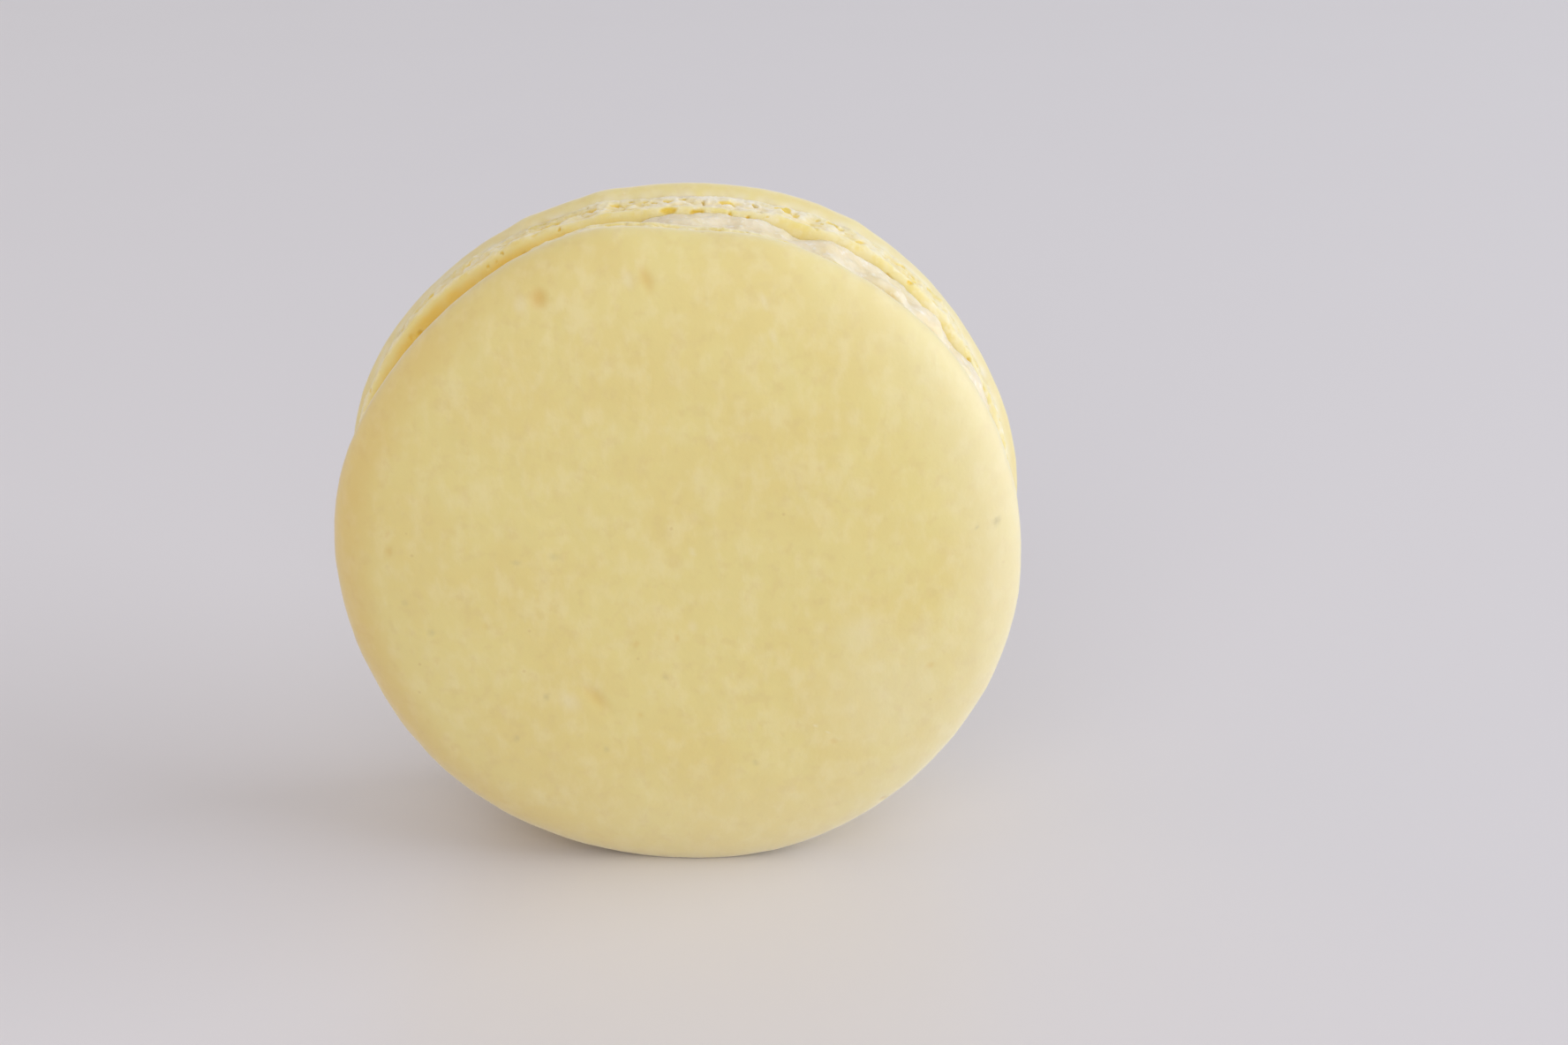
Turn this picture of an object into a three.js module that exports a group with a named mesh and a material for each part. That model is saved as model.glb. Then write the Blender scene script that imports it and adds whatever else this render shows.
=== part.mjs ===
import * as THREE from 'three';
import { mergeVertices } from 'three/addons/utils/BufferGeometryUtils.js';

// A French macaron that stands on its edge: two domed almond shells, each with a
// crumbly foot, and a disc of cream between them. Millimetres, +Z up. The round axis
// runs along Y, the front shell's dome faces -Y, and both rims rest on z = 0.
// An angle round the axis starts at +X and turns towards +Z.

// Shells.
const BACK_DROP = 0.1; // how much lower the back shell sits on the cream
const DOME_RISE = 4.3; // from the widest ring to the crown
const DOME_SQUARENESS = 2.7; // 2 is an ellipse, more keeps the crown flat and the rim round
const SKIRT_HEIGHT = 1.3; // smooth skin between the foot and the widest ring
const SKIRT_OVERHANG = 0.25; // how far the skin's lower edge stays behind the widest ring
const FOOT_HEIGHT = 3.2; // crumbly ring under the skin
const FOOT_ROUNDING = 0.55; // rounded edge between the foot and the flat inner face
const CREASE_DEPTH = 0.3; // groove where the skin meets the foot
const LIP = 0.1; // height of that groove's mouth

// Cream.
const FILLING_THICKNESS = 3.4; // space between the two flat inner faces
const FILLING_RADIUS = 21.2;
const FILLING_BULGE = 0.25; // how far the middle of its edge swells
const FILLING_BEVEL = 0.4; // slope at each side of its edge
const SEAM_GAP = 0.12; // left free between the cream and each inner face

// Resting place.
const FLAT_DEPTH = 0.4; // how deep the table presses into the front shell's rim

// What sets the two shells apart: the radius of the widest ring, how far the foot stays
// behind it, and the unevenness of both as slow waves. A wave has its whole turns round
// the rim, its height and the angle in radians at which it starts.
const FRONT_SHELL = {
  radius: 22.5,
  footInset: 0.8,
  rimWaves: [
    { turns: 2, height: 0.07, start: 1.22 },
    { turns: 3, height: 0.07, start: 2.25 },
    { turns: 4, height: 0.07, start: -0.63 },
    { turns: 5, height: 0.08, start: -2.23 },
    { turns: 6, height: 0.08, start: 1.49 },
  ],
  footWaves: [
    { turns: 3, height: 0.1, start: 0.6 },
    { turns: 5, height: 0.07, start: 2.2 },
  ],
  seed: 11,
};
const BACK_SHELL = {
  radius: 22.65,
  footInset: 0.35,
  rimWaves: [
    { turns: 2, height: 0.38, start: 0.12 },
    { turns: 3, height: 0.25, start: -1.79 },
    { turns: 4, height: 0.16, start: 1.03 },
    { turns: 5, height: 0.1, start: -0.96 },
    { turns: 6, height: 0.14, start: 0.56 },
  ],
  footWaves: [
    { turns: 4, height: 0.2, start: 3.28 },
    { turns: 7, height: 0.06, start: 1.3 },
  ],
  seed: 37,
};

// A shallow dip in the front rim, next to the top, with angles in degrees.
const FRONT_DIP = { middle: 88, halfWidth: 17, depth: 0.5 };
const DIP_START = 0.85; // share of the radius where the dip begins

// Where the cream stops short of the rim and where it swells out, with angles in degrees.
const CREAM_GAPS = [
  { middle: 146, halfWidth: 44, depth: 3.4 },
  { middle: 243, halfWidth: 24, depth: 1.6 },
  { middle: 331, halfWidth: 17, depth: 1.1 },
];
const CREAM_SWELL = { middle: 25, halfWidth: 45, height: 1.2 };

// Smaller relief: crags in the feet, lumps in the cream, swells on the crowns.
const CRAG = { depth: 0.6, width: 2.0, layer: 0.75 };
const LUMP = { height: 0.4, width: 2.8 };
const SWELL = { height: 0.1, width: 9 };

// How finely the surfaces are divided.
const SEGMENTS = 120;
const ROUNDING_STEPS = 3;
const FOOT_STEPS = 7;
const SKIRT_STEPS = 3;
const DOME_STEPS = 9;

const INNER_FACE = FILLING_THICKNESS / 2;
const FOOT_TOP = INNER_FACE + FOOT_HEIGHT;
const WIDEST = FOOT_TOP + SKIRT_HEIGHT;
const CROWN = WIDEST + DOME_RISE;

// A fixed value between 0 and 1 for each crossing of a grid.
function gridValue(column, row, seed) {
  let mixed = Math.imul(column + 1, 374761393) ^ Math.imul(row + 1, 668265263);
  mixed ^= Math.imul(seed + 1, 1442695041);
  mixed = Math.imul(mixed ^ (mixed >>> 13), 1274126177);
  return ((mixed ^ (mixed >>> 16)) >>> 0) / 0xffffffff;
}

function ease(t) {
  return t * t * (3 - 2 * t);
}

// Smooth noise between -1 and 1 that closes on itself after a whole turn.
function noiseRound(angle, height, cells, seed) {
  const column = THREE.MathUtils.euclideanModulo(angle / (2 * Math.PI), 1) * cells;
  const left = Math.floor(column) % cells;
  const right = (left + 1) % cells;
  const low = Math.floor(height);
  const across = ease(column - Math.floor(column));
  const mixRow = (row) =>
    THREE.MathUtils.lerp(gridValue(left, row, seed), gridValue(right, row, seed), across);
  return 2 * THREE.MathUtils.lerp(mixRow(low), mixRow(low + 1), ease(height - low)) - 1;
}

function cellsRound(radius, width) {
  return Math.round((2 * Math.PI * radius) / width);
}

function waveHeight(waves, angle) {
  return waves.reduce((sum, wave) => sum + wave.height * Math.cos(wave.turns * angle + wave.start), 0);
}

// 1 in the middle of a stretch of angle, easing to 0 at its ends.
function stretchWeight(angle, { middle, halfWidth }) {
  const turned = THREE.MathUtils.radToDeg(angle) - middle;
  const away = Math.abs(THREE.MathUtils.euclideanModulo(turned + 180, 360) - 180);
  return ease(THREE.MathUtils.clamp(1 - away / halfWidth, 0, 1));
}

// Half section of a shell, from the middle of its inner face to the crown: x is the
// radius, y the distance along the axis.
function shellSection({ radius, footInset }) {
  const foot = radius - footInset;
  const points = [new THREE.Vector2(0, INNER_FACE)];
  for (let step = 0; step <= ROUNDING_STEPS; step += 1) {
    const turn = (step / ROUNDING_STEPS) * (Math.PI / 2);
    const x = foot - FOOT_ROUNDING * (1 - Math.sin(turn));
    points.push(new THREE.Vector2(x, INNER_FACE + FOOT_ROUNDING * (1 - Math.cos(turn))));
  }
  const wallStart = INNER_FACE + FOOT_ROUNDING;
  for (let step = 1; step < FOOT_STEPS; step += 1) {
    const y = THREE.MathUtils.lerp(wallStart, FOOT_TOP, step / FOOT_STEPS);
    points.push(new THREE.Vector2(foot, y));
  }
  points.push(new THREE.Vector2(foot - CREASE_DEPTH, FOOT_TOP));
  for (let step = 0; step < SKIRT_STEPS; step += 1) {
    const x = radius - SKIRT_OVERHANG * (1 - step / SKIRT_STEPS) ** 2;
    points.push(new THREE.Vector2(x, THREE.MathUtils.lerp(FOOT_TOP + LIP, WIDEST, step / SKIRT_STEPS)));
  }
  for (let step = 0; step < DOME_STEPS; step += 1) {
    const turn = (step / DOME_STEPS) * (Math.PI / 2);
    const x = radius * Math.cos(turn) ** (2 / DOME_SQUARENESS);
    points.push(new THREE.Vector2(x, WIDEST + DOME_RISE * Math.sin(turn)));
  }
  points.push(new THREE.Vector2(0, CROWN));
  return points;
}

// The same section on the other side of the middle, still running along +Y.
function mirrored(section) {
  return section.map((point) => new THREE.Vector2(point.x, -point.y)).reverse();
}

// Half section of the cream, from the middle of one face to the middle of the other.
function creamSection() {
  const half = INNER_FACE - SEAM_GAP;
  const side = FILLING_RADIUS - FILLING_BULGE;
  const upper = [
    new THREE.Vector2(FILLING_RADIUS, half * 0.25),
    new THREE.Vector2(side, half * 0.75),
    new THREE.Vector2(side - FILLING_BEVEL, half),
    new THREE.Vector2(0, half),
  ];
  return [...mirrored(upper), ...upper];
}

// Drops the triangles that the axis squeezes to a line.
function withoutSlivers(geometry) {
  const corners = geometry.getIndex().array;
  const kept = [];
  for (let start = 0; start < corners.length; start += 3) {
    const [a, b, c] = corners.slice(start, start + 3);
    if (a !== b && b !== c && c !== a) {
      kept.push(a, b, c);
    }
  }
  geometry.setIndex(kept);
  return geometry;
}

// Turns a half section about the Y axis, then moves each point as the relief says,
// which gets its angle, its radius and its distance along the axis.
function turned(section, relief) {
  const lathe = new THREE.LatheGeometry(section, SEGMENTS);
  lathe.deleteAttribute('normal');
  lathe.deleteAttribute('uv');
  const geometry = withoutSlivers(mergeVertices(lathe));
  const places = geometry.getAttribute('position');
  const point = new THREE.Vector3();
  for (let index = 0; index < places.count; index += 1) {
    point.fromBufferAttribute(places, index);
    const angle = Math.atan2(point.z, point.x);
    const { reach, along } = relief(angle, Math.hypot(point.x, point.z), point.y);
    places.setXYZ(index, reach * Math.cos(angle), along, reach * Math.sin(angle));
  }
  return geometry;
}

// Lifts everything below the table up to it, which leaves a small flat place.
function pressedOnTable(geometry) {
  const table = FLAT_DEPTH - FRONT_SHELL.radius;
  const places = geometry.getAttribute('position');
  for (let index = 0; index < places.count; index += 1) {
    places.setZ(index, Math.max(places.getZ(index), table));
  }
  geometry.computeVertexNormals();
  return geometry;
}

// 1 on the foot and its inner face, 0 on the skin.
function belowSkin(along) {
  return 1 - THREE.MathUtils.smoothstep(along, FOOT_TOP, FOOT_TOP + LIP);
}

// 1 on the foot's wall, 0 on the inner face and on the skin.
function footShare(along) {
  return belowSkin(along) * THREE.MathUtils.smoothstep(along, INNER_FACE + LIP, INNER_FACE + FOOT_ROUNDING);
}

function shellRelief({ radius, rimWaves, footWaves, seed }) {
  const cragCells = cellsRound(radius, CRAG.width);
  const swellCells = cellsRound(radius, SWELL.width);
  return (angle, reach, along) => {
    const side = Math.abs(along);
    const crag = Math.max(0, noiseRound(angle, side / CRAG.layer, cragCells, seed));
    const swell = noiseRound(angle, reach / SWELL.width, swellCells, seed + 1);
    const rimShare = reach / radius;
    const rim = waveHeight(rimWaves, angle) + belowSkin(side) * waveHeight(footWaves, angle);
    const crownShare = THREE.MathUtils.smoothstep(side, WIDEST, CROWN);
    return {
      reach: reach + rimShare * rim - footShare(side) * CRAG.depth * crag,
      along: along + Math.sign(along) * crownShare * rimShare * SWELL.height * swell,
    };
  };
}

// The front shell's relief, with the dip in its rim.
function frontRelief() {
  const uneven = shellRelief(FRONT_SHELL);
  return (angle, reach, along) => {
    const place = uneven(angle, reach, along);
    const rimShare = THREE.MathUtils.smoothstep(reach / FRONT_SHELL.radius, DIP_START, 1);
    const dip = FRONT_DIP.depth * rimShare * stretchWeight(angle, FRONT_DIP);
    return { reach: place.reach - dip, along: place.along };
  };
}

function creamRelief(seed) {
  const lumpCells = cellsRound(FILLING_RADIUS, LUMP.width);
  return (angle, reach, along) => {
    const missing = CREAM_GAPS.reduce((sum, gap) => sum + gap.depth * stretchWeight(angle, gap), 0);
    const swell = CREAM_SWELL.height * stretchWeight(angle, CREAM_SWELL);
    const lump = LUMP.height * noiseRound(angle, along / LUMP.width, lumpCells, seed);
    return { reach: reach * (1 + (swell + lump - missing) / FILLING_RADIUS), along };
  };
}

function frontShell() {
  return turned(mirrored(shellSection(FRONT_SHELL)), frontRelief());
}

function backShell() {
  return turned(shellSection(BACK_SHELL), shellRelief(BACK_SHELL)).translate(0, 0, -BACK_DROP);
}

function cream() {
  return turned(creamSection(), creamRelief(23));
}

function biscuitMaterial() {
  return new THREE.MeshStandardMaterial({ color: 0xe6d8a8, roughness: 0.62, metalness: 0 });
}

function creamMaterial() {
  return new THREE.MeshStandardMaterial({ color: 0xf1e6da, roughness: 0.55, metalness: 0 });
}

function piece(name, geometry, material) {
  const mesh = new THREE.Mesh(pressedOnTable(geometry), material);
  mesh.name = name;
  return mesh;
}

const macaron = new THREE.Group();
macaron.add(piece('front_shell', frontShell(), biscuitMaterial()));
macaron.add(piece('filling', cream(), creamMaterial()));
macaron.add(piece('back_shell', backShell(), biscuitMaterial()));

// The origin lies on the table, straight below the middle of the macaron's box.
const box = new THREE.Box3().setFromObject(macaron);
const middle = box.getCenter(new THREE.Vector3());
macaron.position.set(-middle.x, -middle.y, -box.min.z);

export default macaron;
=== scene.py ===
"""A French macaron that stands on its edge, dressed for its close-up.

Two domed almond shells, each a smooth skin over a crumbly foot, hold a disc of whipped cream
between them. Sizes are in millimetres, turned to metres when a piece is finished. The round axis
runs along Y, the front shell's dome faces -Y, and an angle round the axis starts at +X and turns
towards +Z.
"""

import logging
import math
import random
from collections import defaultdict
from dataclasses import dataclass, field
from enum import Enum
from typing import Any

import bmesh
import bpy
from mathutils import Matrix, Vector, noise


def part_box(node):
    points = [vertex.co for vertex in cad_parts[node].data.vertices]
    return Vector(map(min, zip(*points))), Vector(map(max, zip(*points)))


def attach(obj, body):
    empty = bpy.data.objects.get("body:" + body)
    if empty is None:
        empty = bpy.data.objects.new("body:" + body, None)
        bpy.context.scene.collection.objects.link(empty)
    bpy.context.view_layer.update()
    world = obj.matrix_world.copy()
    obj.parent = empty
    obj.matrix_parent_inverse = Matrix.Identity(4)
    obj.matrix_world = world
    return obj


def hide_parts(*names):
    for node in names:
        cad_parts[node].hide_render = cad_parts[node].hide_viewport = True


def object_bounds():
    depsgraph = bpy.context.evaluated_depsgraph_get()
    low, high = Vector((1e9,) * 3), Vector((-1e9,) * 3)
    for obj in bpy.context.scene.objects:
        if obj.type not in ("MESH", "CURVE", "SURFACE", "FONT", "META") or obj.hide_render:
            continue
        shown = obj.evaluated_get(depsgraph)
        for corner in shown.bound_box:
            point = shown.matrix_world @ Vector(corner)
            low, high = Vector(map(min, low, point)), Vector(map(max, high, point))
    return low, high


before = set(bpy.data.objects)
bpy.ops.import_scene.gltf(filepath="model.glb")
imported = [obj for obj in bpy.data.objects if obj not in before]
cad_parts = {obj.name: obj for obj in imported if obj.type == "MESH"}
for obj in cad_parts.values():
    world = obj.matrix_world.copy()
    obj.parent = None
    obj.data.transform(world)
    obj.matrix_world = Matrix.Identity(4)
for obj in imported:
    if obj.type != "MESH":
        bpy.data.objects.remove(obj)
CAD_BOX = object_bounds()

LOG = logging.getLogger("macaron")
MM = 0.001
FULL_TURN = 2 * math.pi
QUARTER_TURN = math.pi / 2
CIRCLE = 360  # degrees
BODY = "root"


# ---------------------------------------------------------------- small sums


def ease(share: float) -> float:
    """Turn a share from 0 to 1 into a smooth step."""
    return share * share * (3 - 2 * share)


def clamp(value: float, low: float = 0.0, high: float = 1.0) -> float:
    """Keep a value between two limits."""
    return max(low, min(high, value))


def smooth_step(value: float, low: float, high: float) -> float:
    """Ease from 0 at the low limit to 1 at the high one."""
    return ease(clamp((value - low) / (high - low)))


def turn_between(angle: float, other: float) -> float:
    """Signed turn in radians from the other angle to this one, the short way round."""
    return (angle - other + math.pi) % FULL_TURN - math.pi


def rough(place: Vector, size: float, seed: float = 0.0) -> float:
    """Smooth noise between about -1 and 1.

    Args:
        place: A point in millimetres.
        size: Width of the noise's swells, in millimetres.
        seed: Picks another part of the same noise.

    Returns:
        The noise at that point.
    """
    return noise.noise(place / size + Vector((seed, 1.7 * seed, -seed)))


def ellipse_share(across: float, up: float, half_width: float, half_height: float,
                  turn: float) -> float:
    """Share of the way from the middle of a turned ellipse to its edge.

    Args:
        across: Distance from the middle, across.
        up: Distance from the middle, up.
        half_width: Half the ellipse's width.
        half_height: Half its height.
        turn: How far it is turned, in degrees.

    Returns:
        0 in the middle, 1 on the edge and more outside.
    """
    cosine, sine = math.cos(math.radians(turn)), math.sin(math.radians(turn))
    return math.hypot((across * cosine + up * sine) / half_width,
                      (up * cosine - across * sine) / half_height)


@dataclass(frozen=True)
class Ramp:
    """A smooth rise from 0 at its low value to 1 at its high one."""

    low: float
    high: float

    def at(self, value: float) -> float:
        """Height of the ramp at a value."""
        return smooth_step(value, self.low, self.high)


@dataclass(frozen=True)
class Uneven:
    """A level with smooth noise of one width about it, in millimetres.

    The shift is added to a piece's seed, so that the layers of one piece differ.
    """

    level: float
    swing: float
    width: float
    shift: int

    def at(self, place: Vector, seed: int) -> float:
        """Value at a point of a piece with this seed."""
        return self.level + self.swing * rough(place, self.width, seed + self.shift)


@dataclass(frozen=True)
class Wave:
    """A slow wave round the rim, with its start as an angle in radians."""

    turns: int
    height: float
    start: float

    def at(self, angle: float) -> float:
        """Height of the wave at an angle."""
        return self.height * math.cos(self.turns * angle + self.start)


@dataclass(frozen=True)
class Stretch:
    """A stretch of the rim where something swells or is missing, with its angles in degrees."""

    middle: float
    half_width: float
    amount: float

    def at(self, angle: float) -> float:
        """Amount at an angle: all of it in the middle, none past the ends."""
        away = abs(turn_between(angle, math.radians(self.middle)))
        return self.amount * ease(clamp(1 - away / math.radians(self.half_width)))


# ---------------------------------------------------------------- making meshes

Section = list[tuple[float, float]]
SAME_POINT = 0.0005  # points closer than this are merged
ON_AXIS = 0.01  # points closer than this to the axis stay there


def evenly(points: Section, spacing: float) -> Section:
    """Walk along a line of points in even steps.

    Args:
        points: The line, as pairs of reach and distance along the axis.
        spacing: Wanted length of a step.

    Returns:
        The points of the walk, with both ends of the line among them.
    """
    lengths = [math.dist(one, two) for one, two in zip(points, points[1:])]
    steps = max(1, round(sum(lengths) / spacing))
    walk, part, gone = [points[0]], 0, 0.0
    for step in range(1, steps):
        goal = sum(lengths) * step / steps
        while gone + lengths[part] < goal:
            gone += lengths[part]
            part += 1
        share = (goal - gone) / lengths[part]
        (x0, y0), (x1, y1) = points[part], points[part + 1]
        walk.append((x0 + (x1 - x0) * share, y0 + (y1 - y0) * share))
    return walk + [points[-1]]


def quarter_round(reach: float, along: float, width: float, height: float, steps: int) -> Section:
    """Round the corner between a flat face and a wall.

    Args:
        reach: Reach of the wall.
        along: Place of the flat face along the axis.
        width: Width of the rounding, on the flat face.
        height: Height of the rounding, on the wall.
        steps: How many steps it has.

    Returns:
        Its points from the flat face to the wall, both ends included.
    """
    turns = [step / steps * QUARTER_TURN for step in range(steps + 1)]
    return [(reach - width * (1 - math.sin(turn)), along + height * (1 - math.cos(turn)))
            for turn in turns]


def spun(section: Section, segments: int, slices: int = 20) -> bmesh.types.BMesh:
    """Spin a half section round the Y axis into one closed body.

    One slice is spun in fine steps, and the slice is then spun as a whole, which is much faster
    than a full turn in fine steps.

    Args:
        section: Pairs of reach and distance along the axis, from axis to axis.
        segments: How many fine steps the full turn has.
        slices: How many slices the full turn has.

    Returns:
        The body, in millimetres, with its faces pointing out.
    """
    body = bmesh.new()
    corners = [body.verts.new((reach, along, 0.0)) for reach, along in section]
    for one, two in zip(corners, corners[1:]):
        body.edges.new((one, two))
    turn = {"cent": (0, 0, 0), "axis": (0, 1, 0), "dvec": (0, 0, 0)}
    bmesh.ops.spin(body, geom=body.verts[:] + body.edges[:], angle=FULL_TURN / slices,
                   steps=segments // slices, use_duplicate=False, **turn)
    bmesh.ops.spin(body, geom=body.verts[:] + body.edges[:] + body.faces[:],
                   angle=FULL_TURN * (slices - 1) / slices, steps=slices - 1, use_duplicate=True, **turn)
    bmesh.ops.remove_doubles(body, verts=body.verts[:], dist=SAME_POINT)
    bmesh.ops.recalc_face_normals(body, faces=body.faces[:])
    body.normal_update()
    return body


def shift(vert: bmesh.types.BMVert, out: float, sink: float, along: float = 0.0) -> None:
    """Move a point of a spun body.

    Args:
        vert: The point.
        out: How far it moves away from the axis.
        sink: How deep it then sinks into the surface.
        along: How far it moves along the axis.
    """
    reach = math.hypot(vert.co.x, vert.co.z)
    scale = 1 + out / reach if reach > ON_AXIS else 1
    vert.co = Vector((vert.co.x * scale, vert.co.y + along, vert.co.z * scale)) - vert.normal * sink


@dataclass(frozen=True)
class Place:
    """Where the macaron's axis runs in the frame, in millimetres."""

    axis_x: float
    axis_z: float

    def finish(self, body: bmesh.types.BMesh, name: str, node: str, slot: str,
               drop: float = 0.0) -> bpy.types.Object:
        """Put a body in its place in the frame and make it a piece of the object.

        What would stand out of the solids' box is pressed back to it, as the table does to the rims.

        Args:
            body: The mesh in millimetres round its own axis. It is used up.
            name: Name of the piece.
            node: The solid that the piece stands for.
            slot: Name of a material slot; not used.
            drop: How much lower than the axis the body sits.

        Returns:
            The finished piece, smooth, with its place in its mesh.
        """
        body.transform(Matrix.Translation((self.axis_x, 0, self.axis_z - drop)))
        low, high = (Vector(corner) / MM for corner in CAD_BOX)
        for vert in body.verts:
            vert.co = [clamp(at, least, most) for at, least, most in zip(vert.co, low, high)]
        body.transform(Matrix.Scale(MM, 4))
        for face in body.faces:
            face.smooth = True
        mesh = bpy.data.meshes.new(name)
        body.to_mesh(mesh)
        body.free()
        piece = bpy.data.objects.new(name, mesh)
        bpy.context.scene.collection.objects.link(piece)
        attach(piece, BODY)
        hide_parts(node)
        LOG.info("%s: %d faces, stands for %s", name, len(mesh.polygons), node)
        return piece


# ---------------------------------------------------------------- materials


def linear(code: str) -> tuple[float, float, float, float]:
    """Turn a colour code into the numbers that Blender's sockets take.

    Args:
        code: A code such as #EBDCA0.

    Returns:
        Linear red, green, blue and alpha.
    """
    parts = [int(code[start:start + 2], 16) / 255 for start in (1, 3, 5)]
    light = [part / 12.92 if part <= 0.04045 else ((part + 0.055) / 1.055) ** 2.4 for part in parts]
    return (*light, 1.0)


NoiseKind = tuple[float, float, float]  # width of the swells in millimetres, detail and seed
SPECK_CORE = 0.4  # share of a speck's radius where it starts to fade
SPECK_DOUBT = 0.01  # how wide the step is between places with a speck and without
MIX_SHARE, MIX_FIRST, MIX_SECOND, MIXED = 0, 6, 7, 2  # sockets of a Mix node for colours


class Value:
    """A number in a material. Each operator on it adds a Math node."""

    def __init__(self, shader: "Shader", socket: bpy.types.NodeSocket) -> None:
        """Wrap a socket of a shader's tree."""
        self.shader = shader
        self.socket = socket

    def _math(self, operation: str, first: Any, second: Any) -> "Value":
        """Add a Math node for two numbers, sockets or values."""
        node = self.shader.node("ShaderNodeMath", {"operation": operation}, {0: first, 1: second})
        return Value(self.shader, node.outputs[0])

    def __add__(self, other: Any) -> "Value":
        """Add."""
        return self._math("ADD", self, other)

    __radd__ = __add__

    def __sub__(self, other: Any) -> "Value":
        """Subtract."""
        return self._math("SUBTRACT", self, other)

    def __rsub__(self, other: Any) -> "Value":
        """Subtract from a number."""
        return self._math("SUBTRACT", other, self)

    def __mul__(self, other: Any) -> "Value":
        """Multiply."""
        return self._math("MULTIPLY", self, other)

    __rmul__ = __mul__

    def step(self, low: float, high: float) -> "Value":
        """Ease from 0 at one limit to 1 at the other.

        Args:
            low: The limit where the step starts.
            high: The limit where it is whole.

        Returns:
            The step's height.
        """
        node = self.shader.node("ShaderNodeMapRange", {"interpolation_type": "SMOOTHSTEP"},
                                {"Value": self, "From Min": low, "From Max": high})
        return Value(self.shader, node.outputs["Result"])


class Shader:
    """A new material with one Principled shader, and short ways to add nodes to it."""

    def __init__(self, name: str, **uniform: Any) -> None:
        """Make the material.

        Args:
            name: Name of the material.
            uniform: Numbers and colours that are the same all over, by socket name with
                underscores for spaces.
        """
        self.material = bpy.data.materials.new(name)
        self.material.use_nodes = True
        self.tree = self.material.node_tree
        self.surface = self.tree.nodes["Principled BSDF"]
        for socket, value in uniform.items():
            self.surface.inputs[socket.replace("_", " ")].default_value = value
        coordinates = self.node("ShaderNodeTexCoord")
        self.place = coordinates.outputs["Object"]

    def set(self, node: bpy.types.Node, socket: Any, value: Any) -> None:
        """Set or link one socket of a node.

        Args:
            node: The node.
            socket: Name or number of its socket.
            value: A number, a colour, a socket or a value.
        """
        value = value.socket if isinstance(value, Value) else value
        if isinstance(value, bpy.types.NodeSocket):
            self.tree.links.new(value, node.inputs[socket])
        else:
            node.inputs[socket].default_value = value

    def node(self, kind: str, settings: dict[str, Any] | None = None,
             inputs: dict[Any, Any] | None = None) -> bpy.types.Node:
        """Add a node.

        Args:
            kind: The node's type.
            settings: Its own settings, which are set first.
            inputs: Numbers, colours, sockets or values for its sockets.

        Returns:
            The new node.
        """
        node = self.tree.nodes.new(kind)
        for name, value in (settings or {}).items():
            setattr(node, name, value)
        for socket, value in (inputs or {}).items():
            self.set(node, socket, value)
        return node

    def noise(self, size: float, detail: float = 2.0, seed: float = 0.0,
              squeeze: tuple[float, float, float] = (1.0, 1.0, 1.0)) -> Value:
        """Noise from 0 to 1.

        Args:
            size: Width of its swells, in millimetres.
            detail: How many finer layers it has.
            seed: Picks another part of the same noise.
            squeeze: How much closer its swells are along each axis, less than 1 for longer ones.

        Returns:
            The noise at each point of the surface.
        """
        moved = self.node("ShaderNodeMapping", None, {"Vector": self.place, "Location": (seed, 0, seed),
                                                      "Scale": squeeze})
        texture = self.node("ShaderNodeTexNoise", None, {"Vector": moved.outputs[0],
                                                         "Scale": 1 / (size * MM), "Detail": detail})
        return Value(self, texture.outputs[0])

    def specks(self, spacing: float, radius: float, share: float) -> Value:
        """Scattered round specks.

        Args:
            spacing: Distance between the places where a speck can be, in millimetres.
            radius: Radius of a speck, in millimetres.
            share: Share of those places that has one.

        Returns:
            1 in a speck and 0 elsewhere.
        """
        cells = self.node("ShaderNodeTexVoronoi", None,
                          {"Vector": self.place, "Scale": 1 / (spacing * MM)})
        edge = radius / spacing
        near = 1 - Value(self, cells.outputs["Distance"]).step(SPECK_CORE * edge, edge)
        parts = self.node("ShaderNodeSeparateColor", None, {"Color": cells.outputs["Color"]})
        return near * Value(self, parts.outputs[0]).step(1 - share - SPECK_DOUBT, 1 - share + SPECK_DOUBT)

    def attribute(self, name: str) -> Value:
        """A number that the mesh holds at each point."""
        return Value(self, self.node("ShaderNodeAttribute", {"attribute_name": name}).outputs["Fac"])

    def mix(self, factor: Any, first: Any, second: Any) -> bpy.types.NodeSocket:
        """Mix two colours.

        Args:
            factor: Share of the second colour.
            first: The first colour or its socket.
            second: The second one.

        Returns:
            The mixed colour's socket.
        """
        node = self.node("ShaderNodeMix", {"data_type": "RGBA"},
                         {MIX_SHARE: factor, MIX_FIRST: first, MIX_SECOND: second})
        return node.outputs[MIXED]

    def roughen(self, noise_kind: NoiseKind, least: float, spread: float) -> None:
        """Give the surface an uneven roughness, between the least and as much more as the spread."""
        self.set(self.surface, "Roughness", self.noise(*noise_kind) * spread + least)

    def bump(self, height: Value, depth: float) -> None:
        """Feed a Bump node to the surface, with its depth in millimetres."""
        node = self.node("ShaderNodeBump", None, {"Height": height, "Distance": depth * MM})
        self.set(self.surface, "Normal", node.outputs[0])


@dataclass(frozen=True)
class Mottle:
    """Uneven patches: noise that is 0 under one level and rises to 1 at another."""

    width: float
    detail: float
    seed: float
    low: float
    high: float
    squeeze: tuple[float, float, float] = (1.0, 1.0, 1.0)

    def on(self, shader: Shader) -> Value:
        """The patches on the surface of a shader."""
        return shader.noise(self.width, self.detail, self.seed, self.squeeze).step(self.low, self.high)


class Tint(Enum):
    """Marks on the skin, each a number that the mesh holds at its points."""

    GOLDEN = "golden"
    PALE = "pale"
    GREY = "grey"


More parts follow.
